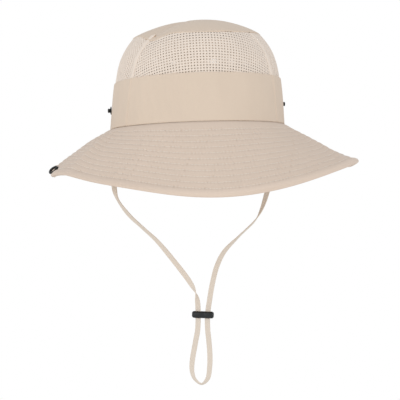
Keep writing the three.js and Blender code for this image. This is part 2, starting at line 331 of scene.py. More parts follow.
def brim_relief(angle, share, side):
    """How far the quilted cloth stands out from the brim's flat face, in metres."""
    angle, share = np.broadcast_arrays(angle, share)
    place = brim_points(angle, share)
    x, y = place[..., 0], place[..., 1]
    row = np.clip(np.round((share - FIRST_ROW) / ROW_STEP), 0, len(ROW_SHARES) - 1).astype(int)
    gap = (share - FIRST_ROW - ROW_STEP * row) * BRIM_LENGTH
    around = turn_between(angle, 1.5 * math.pi)
    run = np.zeros(angle.shape)
    for i in range(len(ROW_SHARES)):
        here = row == i
        run[here] = np.interp(around[here], ROW_ANGLES, ROW_RUNS[i])
    pull = 0.5 + 0.5 * np.cos(2 * math.pi * run / STITCH_PITCH)
    groove = -(GROOVE_DEPTH + NEEDLE_PULL * pull) * bell(gap, GROOVE_WIDTH)
    pucker = waves(run * 1300, share * 22 + row * 3, 8, 0.5, 1.6, 21 + side) * 0.22 * MM
    pucker = pucker * bell(gap, 2.4 * MM)
    puff = 0.3 * MM * (1 - bell(gap, 2 * MM))
    hem = HEM_PUFF * np.sin(math.pi * np.clip((share - HEM_FROM) / (1 - HEM_FROM), 0, 1))
    soft = waves(x * 45, y * 45, 5, 0.5, 1.8, 31) * 0.45 * MM * np.clip(share * 3, 0, 1)
    return groove + pucker + puff + hem + side * soft


# ---- materials ------------------------------------------------------------------------

TONE_CHANGE = 0.04
# Fade distance and paleness of the painted light on the brim's puffed edge band.
HEM_PAINTED_LIGHT_FADE, HEM_PAINTED_LIGHT = 6 * MM, 1.06


def srgb(text):
    values = [int(text[i:i + 2], 16) / 255 for i in (0, 2, 4)]
    return [v / 12.92 if v <= 0.04045 else ((v + 0.055) / 1.055) ** 2.4 for v in values] + [1]


def new_material(name):
    material = bpy.data.materials.new(name)
    material.use_nodes = True
    nodes = material.node_tree.nodes
    nodes.clear()
    shader = nodes.new("ShaderNodeBsdfPrincipled")
    output = nodes.new("ShaderNodeOutputMaterial")
    material.node_tree.links.new(shader.outputs[0], output.inputs[0])
    return material, material.node_tree, shader


def node(tree, kind, **values):
    """Adds a node, with its inputs set by name or number and its settings by attribute."""
    made = tree.nodes.new(kind)
    for key, value in values.items():
        if key.startswith("in_"):
            slot_name = key[3:]
            slot = made.inputs[int(slot_name)] if slot_name.isdigit() else made.inputs[slot_name]
            slot.default_value = value
        else:
            setattr(made, key, value)
    return made


def remap(tree, source, low, high, start=0.0, end=1.0):
    """Stretches a value, so that start to end becomes low to high."""
    made = node(tree, "ShaderNodeMapRange")
    made.inputs["From Min"].default_value = start
    made.inputs["From Max"].default_value = end
    made.inputs["To Min"].default_value = low
    made.inputs["To Max"].default_value = high
    tree.links.new(source, made.inputs["Value"])
    return made.outputs[0]


def mix_colours(tree, first, second, factor, **settings):
    """Mixes two colours by a factor. Each of the three is a value or a node's output."""
    made = node(tree, "ShaderNodeMix", data_type="RGBA", **settings)
    for slot, value in (("A", first), ("B", second), ("Factor", factor)):
        if isinstance(value, bpy.types.NodeSocket):
            tree.links.new(value, made.inputs[slot])
        else:
            made.inputs[slot].default_value = value
    return made.outputs["Result"]


def roughen(tree, shader, height, strength, distance):
    """Bumps the surface by a pattern, up to a distance in metres."""
    bump = node(tree, "ShaderNodeBump", in_Strength=strength, in_Distance=distance)
    tree.links.new(height, bump.inputs["Height"])
    tree.links.new(bump.outputs[0], shader.inputs["Normal"])


def scaled(colour, factor):
    """A colour made lighter or darker, with no part of it above 1."""
    return [min(1, c * factor) for c in colour[:3]] + [1]


def grain(tree, scale, detail, **settings):
    """Noise of that many grains to a metre, fixed to the piece."""
    place = node(tree, "ShaderNodeTexCoord").outputs["Object"]
    made = node(tree, "ShaderNodeTexNoise", in_Scale=scale, in_Detail=detail, **settings)
    tree.links.new(place, made.inputs["Vector"])
    return made.outputs[0]


def fabric(name, colour, pitch, depth, fleck=0.05, sheen=0.12, hem=0):
    """Plain woven cloth: warp and weft from the cloth's own coordinates, slubs and tone.

    With hem, the cloth is painted paler from that far out across the piece: painted light on the
    puffed edge band, which catches more light."""
    material, tree, shader = new_material(name)
    link = tree.links.new
    cloth = node(tree, "ShaderNodeUVMap", uv_map="cloth")
    threads = []
    for direction in ("X", "Y"):
        wave = node(
            tree, "ShaderNodeTexWave", wave_type="BANDS", bands_direction=direction,
            in_Scale=math.pi / (pitch * 10), in_Distortion=0.6, in_Detail=1.0,
        )
        link(cloth.outputs[0], wave.inputs["Vector"])
        threads.append(wave.outputs["Fac"])
    weave = node(tree, "ShaderNodeMath", operation="MULTIPLY")
    link(threads[0], weave.inputs[0])
    link(threads[1], weave.inputs[1])
    mixed = node(tree, "ShaderNodeMath", operation="ADD", use_clamp=True)
    link(weave.outputs[0], mixed.inputs[0])
    link(grain(tree, 1400.0, 2.0), mixed.inputs[1])

    base = srgb(colour)
    woven = mix_colours(tree, scaled(base, 1 - fleck * 2.2), base, mixed.outputs[0])
    tone = remap(tree, grain(tree, 22.0, 4.0), 1 - TONE_CHANGE, 1 + TONE_CHANGE)
    surface = mix_colours(tree, woven, tone, 1.0, blend_type="MULTIPLY")
    # Painted light: the cloth turns paler from hem outwards, for the light that the puffed edge
    # catches.
    if hem:
        parts = node(tree, "ShaderNodeSeparateXYZ")
        link(cloth.outputs[0], parts.inputs[0])
        edge_light = remap(tree, parts.outputs["Y"], 0, 1, hem, hem + HEM_PAINTED_LIGHT_FADE)
        surface = mix_colours(tree, surface, scaled(base, HEM_PAINTED_LIGHT), edge_light)
    link(surface, shader.inputs["Base Color"])
    roughen(tree, shader, mixed.outputs[0], 0.6, depth)
    shader.inputs["Roughness"].default_value = 0.88
    shader.inputs["Specular IOR Level"].default_value = 0.25
    shader.inputs["Sheen Weight"].default_value = sheen
    shader.inputs["Sheen Roughness"].default_value = 0.5
    return material


def thread_material(name, colour):
    """Spun thread: fine diagonal twist lines and a slight gloss."""
    material, tree, shader = new_material(name)
    place = node(tree, "ShaderNodeTexCoord").outputs["Object"]
    twist = node(
        tree, "ShaderNodeTexWave", wave_type="BANDS", bands_direction="DIAGONAL",
        in_Scale=900.0, in_Distortion=1.0,
    )
    tree.links.new(place, twist.inputs["Vector"])
    base = srgb(colour)
    tint = mix_colours(tree, scaled(base, 0.82), base, twist.outputs["Fac"])
    tree.links.new(tint, shader.inputs["Base Color"])
    roughen(tree, shader, twist.outputs["Fac"], 0.5, 0.08 * MM)
    shader.inputs["Roughness"].default_value = 0.7
    shader.inputs["Sheen Weight"].default_value = 0.1
    return material


def metal_material(name, colour):
    """Gunmetal enamel on a pressed snap: fine scuffs, worn a little on high spots."""
    material, tree, shader = new_material(name)
    link = tree.links.new
    scuff = grain(tree, 900.0, 6.0, in_Roughness=0.7)
    base = srgb(colour)
    worn = remap(tree, scuff, 0, 1, 0.5, 0.75)
    link(mix_colours(tree, base, scaled(base, 2.4), worn), shader.inputs["Base Color"])
    link(remap(tree, scuff, 0.25, 0.5), shader.inputs["Roughness"])
    roughen(tree, shader, scuff, 0.2, 0.04 * MM)
    shader.inputs["Metallic"].default_value = 0.85
    return material


def plastic_material(name, colour):
    """Dark moulded plastic: a fine spark-eroded grain and faint flow marks."""
    material, tree, shader = new_material(name)
    link = tree.links.new
    flow = grain(tree, 160.0, 2.0, in_Distortion=1.5)
    base = srgb(colour)
    link(mix_colours(tree, scaled(base, 0.7), scaled(base, 1.5), flow), shader.inputs["Base Color"])
    link(remap(tree, flow, 0.38, 0.55), shader.inputs["Roughness"])
    roughen(tree, shader, grain(tree, 2500.0, 3.0), 0.25, 0.05 * MM)
    return material


SHELL = fabric("shell_cloth", "e1cdb8", 0.55 * MM, 0.05 * MM)
NET = fabric("mesh_cloth", "eedece", 0.5 * MM, 0.05 * MM, fleck=0.03, sheen=0.2)
# Past 74 mm out the brim's cloth is painted paler: painted light on its edge band.
BRIM = fabric("brim_cloth", "dcc8b6", 0.6 * MM, 0.06 * MM, hem=74 * MM)
BAND = fabric("sweatband_cloth", "d2c2ae", 0.8 * MM, 0.1 * MM, fleck=0.08)
LINING = fabric("lining_tape_cloth", "cfc0ae", 0.9 * MM, 0.12 * MM, fleck=0.08)
TAPE = fabric("strap_tape_cloth", "e8daca", 0.7 * MM, 0.1 * MM, fleck=0.06)
# The thread's colour is set paler than the cloth: that paleness is painted highlight on the stitch
# beads.
THREAD = thread_material("sewing_thread", "f4eadc")
METAL = metal_material("snap_enamel", "2f2f2d")
PLASTIC = plastic_material("toggle_plastic", "121616")

# ---- camera and light -----------------------------------------------------------------

VIEW_AZIMUTH = math.radians(-5)
VIEW_ELEVATION = math.radians(0)
VIEW_DISTANCE = 1.2
VIEW_WIDTH = 0.403
VIEW_ROLL = math.radians(-1.8)
AIM = Vector((0.5 * MM, 0, -72.6 * MM))
SKY_BELOW, SKY_ABOVE = 0.86, 0.68
SKY_TINT = (0.95, 1.0, 1.07, 1)


def add_camera():
    data = bpy.data.cameras.new("camera")
    camera = bpy.data.objects.new("camera", data)
    bpy.context.scene.collection.objects.link(camera)
    back = Vector((
        math.sin(VIEW_AZIMUTH) * math.cos(VIEW_ELEVATION),
        -math.cos(VIEW_AZIMUTH) * math.cos(VIEW_ELEVATION),
        math.sin(VIEW_ELEVATION),
    ))
    turn = back.to_track_quat("Z", "Y").to_matrix().to_4x4()
    roll = Matrix.Rotation(VIEW_ROLL, 4, "Z")
    camera.matrix_world = Matrix.Translation(AIM + back * VIEW_DISTANCE) @ turn @ roll
    data.sensor_width = 36
    data.lens = data.sensor_width * VIEW_DISTANCE / VIEW_WIDTH
    data.clip_end = 20
    bpy.context.scene.camera = camera


def add_area(name, place, target, size, power):
    data = bpy.data.lights.new(name, "AREA")
    data.shape = "DISK"
    data.size = size
    data.energy = power
    light = bpy.data.objects.new(name, data)
    light.location = place
    aim = Vector(target) - Vector(place)
    light.rotation_euler = aim.to_track_quat("-Z", "Y").to_euler()
    bpy.context.scene.collection.objects.link(light)


def backdrop_material():
    material = bpy.data.materials.new("backdrop")
    material.use_nodes = True
    tree = material.node_tree
    tree.nodes.clear()
    glow = node(tree, "ShaderNodeEmission", in_Strength=1.0)
    glow.inputs["Color"].default_value = (1, 1, 1, 1)
    output = node(tree, "ShaderNodeOutputMaterial")
    tree.links.new(glow.outputs[0], output.inputs[0])
    return material


def add_backdrop():
    """A round pale floor that sweeps up into a wall all round the hat."""
    floor, wall, bend, top = -0.8, 8.0, 1.5, 7.0
    line = [(0.0, floor), (wall - bend, floor)]
    line += [
        (wall - bend + bend * math.sin(a), floor + bend - bend * math.cos(a))
        for a in np.linspace(0, math.pi / 2, 10)[1:]
    ]
    line.append((wall, top))
    steps = 96
    turns = np.linspace(0, 2 * math.pi, steps, endpoint=False)
    points = [(r * math.cos(a), r * math.sin(a), z) for r, z in line for a in turns]
    faces = []
    for i in range(len(line) - 1):
        for k in range(steps):
            n = (k + 1) % steps
            here, above = i * steps, (i + 1) * steps
            faces.append((here + k, here + n, above + n, above + k))
    sheet = mesh_from("backdrop", points, faces, backdrop_material())
    sheet.visible_diffuse = False
    sheet.visible_glossy = False


def add_light():
    """An even white studio, a little dimmer from above, with soft lights at the front."""
    world = bpy.data.worlds.new("studio")
    bpy.context.scene.world = world
    world.use_nodes = True
    tree = world.node_tree
    background = tree.nodes["Background"]
    where = node(tree, "ShaderNodeTexCoord")
    split = node(tree, "ShaderNodeSeparateXYZ")
    height = split.outputs["Z"]
    tree.links.new(where.outputs["Generated"], split.inputs[0])
    level = remap(tree, height, SKY_BELOW, SKY_ABOVE, -1, 1)
    cool = mix_colours(tree, (1, 1, 1, 1), SKY_TINT, remap(tree, height, 0, 1, -1, 1))
    tree.links.new(level, background.inputs["Strength"])
    tree.links.new(cool, background.inputs["Color"])
    add_area("key", (-0.5, -2.0, 0.5), (0, 0, 0.02), 1.2, 9)
    add_area("left_fill", (-1.9, -0.9, 0.1), (0, 0, 0.0), 1.2, 4)
    add_area("right_fill", (1.9, -0.9, 0.2), (0, 0, 0.0), 1.2, 4)
    bpy.context.scene.view_settings.view_transform = "Standard"


add_camera()
add_light()
add_backdrop()

# ---- chin strap, its toggle -----------------------------------------------------------

# Across, height in millimetres, and how far the tape is turned from facing forwards.
STRAP_ROUTE = [
    (-83, -4.5, -80), (-84.9, -27.3, -40), (-85.3, -56.6, -12), (-82.7, -68.4, -66),
    (-72.1, -84.6, -52), (-58, -98.8, -60), (-44.6, -111.9, -46), (-28.4, -132.3, -20),
    (-12.3, -155, -20), (-6.9, -165.9, -92), (-5.3, -173.9, -160), (-5, -186.3, -180),
    (-6, -203.4, -180), (-8.3, -214.3, -184), (-12.7, -236.3, -200), (-12.8, -245.7, -222),
    (-10.2, -253, -242), (-3.6, -257.9, -248), (2.5, -252.8, -210), (5, -240.5, -188),
    (5.6, -229.5, -180), (5, -214.8, -180), (4.2, -203.7, -180), (4.4, -189.7, -180),
    (6.9, -174.3, -182), (10.7, -155.9, -188), (16.2, -138.2, -192), (23.7, -125.1, -212),
    (39.3, -110.1, -250), (56.2, -94.5, -258), (62.6, -84, -294), (69, -66.4, -338),
    (74.2, -47.3, -360), (78.8, -26.5, -385), (83, -4.5, -440),
]
TAPE_WIDTH = 5.3 * MM
TAPE_THICKNESS = 1.0 * MM
TOGGLE_TURN = Matrix.Rotation(math.radians(4.3), 4, "Y")
SLOT_OFF, SLOT_HALF, SLOT_HALF_WIDTH = 4.75 * MM, 4.2 * MM, 1.4 * MM


def centripetal(points, samples):
    """A centripetal Catmull-Rom curve through the points, evenly dense between each pair."""
    points = np.array(points, float)
    space = points[:, :2]
    first = points[0] * 2 - points[1]
    last = points[-1] * 2 - points[-2]
    padded = np.vstack([first, points, last])
    flat = np.vstack([space[0] * 2 - space[1], space, space[-1] * 2 - space[-2]])
    line = []
    for i in range(len(points) - 1):
        p = padded[i:i + 4]
        gaps = np.linalg.norm(np.diff(flat[i:i + 4], axis=0), axis=1) ** 0.5
        t = np.concatenate([[0], np.cumsum(gaps)])
        for u in np.linspace(t[1], t[2], samples, endpoint=False):
            a = [
                (t[k + 1] - u) / (t[k + 1] - t[k]) * p[k] + (u - t[k]) / (t[k + 1] - t[k]) * p[k + 1]
                for k in range(3)
            ]
            b = [
                (t[k + 2] - u) / (t[k + 2] - t[k]) * a[k] + (u - t[k]) / (t[k + 2] - t[k]) * a[k + 1]
                for k in range(2)
            ]
            line.append((t[2] - u) / (t[2] - t[1]) * b[0] + (u - t[1]) / (t[2] - t[1]) * b[1])
    line.append(points[-1])
    return np.array(line)


def add_strap():
    line = centripetal(STRAP_ROUTE, 12)
    centre = np.stack([line[:, 0], 0 * line[:, 0], line[:, 1]], 1) * MM
    tangent = np.gradient(centre, axis=0)
    tangent /= np.linalg.norm(tangent, axis=1, keepdims=True)
    front = np.array([0, -1.0, 0])
    side = np.cross(tangent, front)
    turn = np.radians(line[:, 2])[:, None]
    across = side * np.cos(turn) + front * np.sin(turn)
    face = np.cross(across, tangent)
    half, thick, edge = TAPE_WIDTH / 2, TAPE_THICKNESS / 2, 0.3 * MM
    outline = []
    for k in range(9):
        w = -half + edge + (TAPE_WIDTH - 2 * edge) * k / 8
        ridge = 0.06 * MM * (k % 2)
        outline.append((w, thick - ridge))
    outline += [(half - edge * 0.3, thick * 0.6), (half, 0), (half - edge * 0.3, -thick * 0.6)]
    outline += [(w, -h) for w, h in reversed(outline[:9])]
    outline += [(-half + edge * 0.3, -thick * 0.6), (-half, 0), (-half + edge * 0.3, thick * 0.6)]
    points = np.stack([centre + across * w + face * h for w, h in outline], 1)
    strap = sweep("chin_strap_tape", points, TAPE)
    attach(strap, "chin_strap")
    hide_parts("chin_strap")
    length = float(np.linalg.norm(np.diff(centre, axis=0), axis=1).sum())
    return strap, centre, length


def add_toggle():
    """A moulded bar with round ends and a slot for each leg of the tape."""
    low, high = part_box("strap_toggle")
    centre = (Vector(low) + Vector(high)) / 2
    half, radius, tall, rim = 10.2 * MM, 3.3 * MM, 3.4 * MM, 2.1 * MM
    curve = bpy.data.curves.new("toggle_outline", "CURVE")
    curve.dimensions = "2D"
    curve.fill_mode = "BOTH"

    def stadium(x, half_length, half_width, count=10):
        line = []
        for side, start in ((1, -math.pi / 2), (-1, math.pi / 2)):
            for a in np.linspace(start, start + math.pi, count):
                line.append((
                    x + side * (half_length - half_width) + half_width * math.cos(a),
                    half_width * math.sin(a),
                ))
        spline = curve.splines.new("POLY")
        spline.points.add(len(line) - 1)
        for point, (px, py) in zip(spline.points, line):
            point.co = (px, py, 0, 1)
        spline.use_cyclic_u = True

    stadium(0, half - rim, radius - rim)
    for side in (-1, 1):
        stadium(side * SLOT_OFF, SLOT_HALF, SLOT_HALF_WIDTH)
    curve.extrude = tall - rim
    curve.bevel_depth = rim
    curve.bevel_resolution = 5
    maker = bpy.data.objects.new("toggle_outline", curve)
    bpy.context.scene.collection.objects.link(maker)
    bpy.context.view_layer.update()
    mesh = bpy.data.meshes.new_from_object(maker.evaluated_get(bpy.context.evaluated_depsgraph_get()))
    bpy.data.objects.remove(maker)
    toggle = bpy.data.objects.new("toggle_bar", mesh)
    bpy.context.scene.collection.objects.link(toggle)
    toggle.data.transform(Matrix.Translation(centre) @ TOGGLE_TURN)
    clean(toggle)
    mesh.materials.clear()
    mesh.materials.append(PLASTIC)
    mesh.shade_smooth()
    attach(toggle, "strap_toggle")
    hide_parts("strap_toggle")
    return toggle


strap, strap_line, strap_length = add_strap()
toggle = add_toggle()

# ---- crown ----------------------------------------------------------------------------


def cloth_ring(name, angles, heights, thickness, inset, material, closed, surface):
    """A band of cloth around the crown, with its long edges rolled in."""
    rim = np.linspace(0, math.pi, 7)[1:-1]
    outer = [(z, 0.0) for z in heights]
    top = [
        (heights[-1] + thickness / 2 * math.sin(a), thickness / 2 * (1 - math.cos(a)))
        for a in rim
    ]
    inner = [(z, thickness) for z in reversed(heights)]
    bottom = [
        (heights[0] - thickness / 2 * math.sin(a), thickness / 2 * (1 + math.cos(a)))
        for a in rim
    ]
    outline = outer + top + inner + bottom
    z = np.array([p[0] for p in outline])[None, :]
    depth = np.array([p[1] for p in outline])[None, :]
    points = surface(np.array(angles)[:, None], z, inset + depth)
    return sweep(name, points, material, closed=closed)


AROUND = 300
SEAM_CLEAR = 0.15 * MM
BAND_CLOTH = 1.1 * MM
TOP_CLOTH = 1.0 * MM


def seam_turn(z):
    """How far each side seam stands forward of the YZ plane, as an angle."""
    return np.arcsin(np.clip(-SIDE_SEAM_Y / (crown_half(z) * ASPECT), -1, 1))


def panel_ends(front, z):
    """First and last angle of the front or back cloth at a height."""
    clear = SEAM_CLEAR / crown_half(z)
    forward = seam_turn(z)
    if front:
        return math.pi + forward + clear, 2 * math.pi - forward - clear
    return -forward + clear, math.pi + forward - clear


def panel_surface(front):
    """The crown's surface, by share of the way across the front or back cloth."""
    def surface(share, z, inset):
        first, last = panel_ends(front, z)
        return crown_surface(first + (last - first) * share, z, inset)
    return surface


def run_length(first, last, z):
    line = crown_points(np.linspace(first, last, 400), np.full(400, z))
    return float(np.linalg.norm(np.diff(line, axis=0), axis=1).sum())


def add_band(front):
    label = "front" if front else "back"
    heights = list(np.linspace(BAND_LOW[2] + 0.3 * MM, BAND_TOP - 0.6 * MM, 56))
    shares = np.linspace(0, 1, AROUND if front else AROUND + 140)
    piece = cloth_ring(
        f"crown_band_{label}_cloth", shares, heights, BAND_CLOTH, 0.0, SHELL, False,
        panel_surface(front),
    )
    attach(piece, "hat")
    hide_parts(f"crown_band_{label}")
    width = run_length(*panel_ends(front, BAND_TOP / 2), BAND_TOP / 2)


# The mesh cloth is cut flat and curves round the cone of the crown, so its square grid
# of holes leans more and more towards the sides.
NET_PITCH = 2.9 * MM
NET_THICKNESS = 0.7 * MM
HOLE_RADIUS = 0.66 * MM
NET_HALF_WIDTH = 200 * MM
NET_HEIGHT = 135 * MM
NET_STEPS_BELOW = 6
NET_BEHIND = 1.15 * MM
NET_COMES_OUT = 0.75 * MM
HOLE_SINK = 0.18 * MM


def net_inset(z):
    """The mesh starts behind the band's top edge and comes out nearly level higher up."""
    return NET_BEHIND - NET_COMES_OUT * ease(BAND_TOP + 2 * MM, BAND_TOP + 27 * MM, z)


def add_net(front):
    label = "front" if front else "back"
    base_half = crown_half(BAND_TOP)
    slant = math.hypot(TOP_SEAM - BAND_TOP, base_half - TOP_HALF_X)
    apex = base_half * slant / (base_half - TOP_HALF_X)
    across = int(NET_HALF_WIDTH / NET_PITCH)
    rows = int(NET_HEIGHT / NET_PITCH)
    fine = np.linspace(-math.pi, 3 * math.pi, 4001)
    ring = crown_points(fine, np.full_like(fine, BAND_TOP))
    lengths = np.concatenate([[0], np.cumsum(np.linalg.norm(np.diff(ring, axis=0), axis=1))])
    middle = np.interp(1.5 * math.pi if front else 0.5 * math.pi, fine, lengths)

    def place(flat):
        """Angle and height on the crown of points given in the flat cloth."""
        down = apex - flat[:, 1]
        run = np.arctan2(flat[:, 0], down) * apex
        height = BAND_TOP + (apex - np.hypot(flat[:, 0], down)) * (TOP_SEAM - BAND_TOP) / slant
        return np.interp(middle + run, lengths, fine), height

    wide = 4 * across + 1
    tall = 2 * rows + 1
    column, row = np.meshgrid(np.arange(wide), np.arange(tall), indexing="ij")
    step = NET_PITCH / 2
    grid = np.stack([(column - 2 * across) * step, (row - NET_STEPS_BELOW) * step], -1).reshape(-1, 2)
    corners = [(0, 0), (1, 0), (2, 0), (2, 1), (2, 2), (1, 2), (0, 2), (0, 1)]
    spokes = np.array([math.atan2(j - 1, i - 1) for i, j in corners])
    rim = HOLE_RADIUS * np.stack([np.cos(spokes), np.sin(spokes)], 1)
    cells = [(i, j) for i in range(0, wide - 2, 2) for j in range(0, tall - 2, 2)]
    centres = np.array([grid[(i + 1) * tall + j + 1] for i, j in cells])
    angle, height = place(centres)
    first, last = panel_ends(front, height)
    keep = (height > BAND_TOP - 3 * MM) & (height < top_seam(angle) + 1.8 * MM)
    edge = 1.6 * MM / crown_half(height)
    keep = keep & (angle > first + edge) & (angle < last - edge)
    flats, faces = [grid], []
    next_point = len(grid)
    for (i, j), centre, kept in zip(cells, centres, keep):
        if not kept:
            continue
        flats.append(centre + rim)
        outer = [(i + a) * tall + j + b for a, b in corners]
        for k in range(8):
            n = (k + 1) % 8
            faces.append((outer[k], outer[n], next_point + n, next_point + k))
        next_point += 8
    flat = np.vstack(flats)
    angle, height = place(flat)
    sink = np.zeros(len(flat))
    sink[len(grid):] = HOLE_SINK
    tuck = 0.9 * np.clip(height - top_seam(angle) + 0.5 * MM, 0, None)
    points = crown_surface(angle, height, net_inset(height) + sink + tuck)
    used = np.unique(np.array(faces).reshape(-1))
    renumber = np.zeros(len(flat), int)
    renumber[used] = np.arange(len(used))
    faces = renumber[np.array(faces)]
    uvs = flat[used][faces.reshape(-1)]
    piece = mesh_from(f"crown_mesh_{label}_net", points[used], faces, NET, uvs)
    thicken = piece.modifiers.new("thickness", "SOLIDIFY")
    thicken.thickness = NET_THICKNESS
    thicken.offset = -1
    bpy.context.view_layer.update()
    done = bpy.data.meshes.new_from_object(
        piece.evaluated_get(bpy.context.evaluated_depsgraph_get()),
    )
    piece.modifiers.clear()
    piece.data = done
    clean(piece)
    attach(piece, "hat")
    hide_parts(f"crown_mesh_{label}")
    middle_z = (BAND_TOP + TOP_SEAM) / 2
    width = run_length(*panel_ends(front, middle_z), middle_z)


def dome_height(share, angle):
    seam = top_seam(angle)
    return seam + (TOP_HIGH[2] - seam) * np.clip(1 - share ** 2, 0, 1) ** 0.9


def add_top():
    """The tip of the crown, one shallow dome of cloth, sewn on all round."""
    thickness = TOP_CLOTH
    share = np.concatenate([[0], np.linspace(0.03, 0.9, 56), np.linspace(0.91, 0.992, 12)])
    angle = np.linspace(0, 2 * math.pi, AROUND * 2, endpoint=False)[:, None]
    seam = top_seam(angle)
    half = crown_half(seam) + 0.1 * MM
    rim = np.linspace(0, math.pi / 2, 6)
    upper = share[None, :]
    lower = share[None, ::-1]
    rim_in = thickness * 0.5 * (1 - np.cos(rim))[None, :]
    rim_down = thickness * 0.5 * np.sin(rim)[None, :]
    ones = np.ones_like(angle)
    radius = np.hstack([half * upper, half * 0.996 - rim_in, (half - 0.8 * MM) * lower])
    height = np.hstack([
        dome_height(upper, angle), dome_height(0.996 * ones, angle) - 0.4 * MM - rim_down,
        dome_height(lower, angle) - thickness,
    ])
    spread = radius / half
    x, y = radius * np.cos(angle), radius * np.sin(angle)
    dents = waves(x * 38, y * 38, 6, 0.5, 1.6, 41) * 0.8 * MM * (1 - spread ** 4)
    edge = crown_creases(angle, seam) * spread ** 2
    rumple = waves(x * 110, y * 110, 6, 0.5, 1.5, 42) * 0.3 * MM * spread ** 2
    fold = bell(turn_between(angle, FRONT_FOLD), 0.17) * np.sin(math.pi * spread)
    slide = lean(height) + 2.5 * MM * (1 - spread ** 2)
    points = np.stack(np.broadcast_arrays(
        x * (1 + edge / half) + slide, y * (1 + edge / half) * ASPECT,
        height + dents + rumple - 2.2 * MM * fold,
    ), -1)
    piece = sweep("crown_top_cloth", points, SHELL, closed=True)
    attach(piece, "hat")
    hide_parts("crown_top_panel")


def add_side_seam(right, lower):
    """The felled seam that joins the front and back cloth on one side."""
    low = BAND_LOW[2] + 0.5 * MM if lower else BAND_TOP - 2 * MM
    high = BAND_TOP - 0.4 * MM if lower else TOP_SEAM + 1 * MM
    heights = np.linspace(low, high, 50)[:, None]
    half_width = 2.4 * MM if lower else 2.9 * MM
    across = np.linspace(-1, 1, 11)
    outline = [(a, 0.5 * MM * (1 - a ** 4)) for a in across]
    outline += [(a, -1.0 * MM if lower else -1.6 * MM) for a in across[::-1]]
    side = np.array([p[0] for p in outline])[None, :] * half_width
    lift = np.array([p[1] for p in outline])[None, :]
    inset = 0.0 if lower else net_inset(heights)
    forward = seam_turn(heights)
    middle = 2 * math.pi - forward if right else math.pi + forward
    turn = side / (crown_half(heights) * 1.1)
    points = crown_surface(middle + turn, heights + 0 * turn, inset - lift)
    place = "band" if lower else "mesh"
    label = "right" if right else "left"
    material = SHELL if lower else NET
    piece = sweep(f"{place}_side_seam_{label}", points, material)
    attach(piece, "hat")


def add_inside():
    """Sweatband and seam tapes on the inside of the crown."""
    turn = np.linspace(0, 2 * math.pi, AROUND * 2, endpoint=False)

    def soft(angle, z, inset):
        around = np.cos(angle) * 14
        puff = waves(around, np.sin(angle) * 14 + z * 60, 5, 0.5, 1.5, 51) * 0.2 * MM
        return crown_surface(angle, z, inset + puff)

    def soft_top(angle, z, inset):
        return soft(angle, z + top_seam(angle) - TOP_SEAM, inset)

    low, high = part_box("sweatband")
    band_inset = float(crown_half(low[2]) - (high[0] - low[0]) / 2)
    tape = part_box("band_seam_tape")
    sizes = [
        ("sweatband", "sweatband_twill", BAND, 1.4 * MM, "sweatband_fabric", band_inset,
         low[2], high[2], soft),
        ("band_seam_tape", "band_seam_binding", LINING, 0.6 * MM, "lining_tape", 2.3 * MM,
         tape[0][2], tape[1][2], soft),
        ("top_seam_tape", "top_seam_binding", LINING, 0.6 * MM, "lining_tape", 1.9 * MM,
         TOP_SEAM - 8.2 * MM, TOP_SEAM + 2.2 * MM, soft_top),
    ]
    for cad, name, material, thickness, slot_name, inset, bottom, top, surface in sizes:
        heights = list(np.linspace(bottom + thickness / 2, top - thickness / 2, 24))
        piece = cloth_ring(name, turn, heights, thickness, inset, material, True, surface)
        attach(piece, "hat")
        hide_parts(cad)
        flat = (run_length(0, 2 * math.pi, (bottom + top) / 2) - 6.28 * inset, top - bottom)


def add_strap_root(sign):
    """The sewn end of the strap, a short tab between the sweatband and the crown's cloth."""
    end = strap_line[0] if sign < 0 else strap_line[-1]
    z = np.linspace(end[2] + 0.6 * MM, 9 * MM, 14)
    rise = np.clip((z - z[0]) / (z[-1] - z[0]), 0, 1)
    wall = sign * (crown_half(z[-1]) - 2.7 * MM) + lean(z[-1])
    foot = end[0] + sign * 1.25 * MM
    x = foot + (wall - foot) * rise
    half, thick = TAPE_WIDTH / 2, 0.45 * MM
    outline = [(-thick, -half + thick), (0, -half), (thick, -half + thick)]
    outline += [(thick, half - thick), (0, half), (-thick, half - thick)]
    points = np.array([[(px + ox, oy, pz) for ox, oy in outline] for px, pz in zip(x, z)])
    label = "left" if sign < 0 else "right"
    piece = sweep(f"strap_root_{label}", points, TAPE)
    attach(piece, "hat")


for is_front in (True, False):
    add_band(is_front)
    add_net(is_front)
add_top()
for is_right in (True, False):
    add_side_seam(is_right, True)
    add_side_seam(is_right, False)
add_inside()
add_strap_root(-1)
add_strap_root(1)

# ---- brim -----------------------------------------------------------------------------


def brim_outline():
    """The brim's section: share of the way out, depth below the upper face, and which face."""
    near = np.array([-2.5, -1.5, -0.8, 0, 0.8, 1.5, 2.5]) * MM / BRIM_LENGTH
    upper = [0.0, 0.03, 0.06] + [row + step for row in ROW_SHARES for step in near]
    upper += [0.935, 0.95, 0.965, 0.978]
    lower = [0.0, 0.05] + [row + step for row in ROW_SHARES for step in near[1:6:2]]
    lower += [0.94, 0.978]
    edge_share = upper[-1]
    round_out = 1 - edge_share
    half = BRIM_THICKNESS / 2
    outline = [(s, 0.0, 1.0) for s in upper]
    outline += [
        (edge_share + round_out * math.sin(a), half * (1 - math.cos(a)), 0.0)
        for a in np.linspace(0, math.pi, 9)[1:-1]
    ]
    outline += [(s, BRIM_THICKNESS, -1.0) for s in lower[::-1]]
    return np.array(outline)


BRIM_STEPS = 600


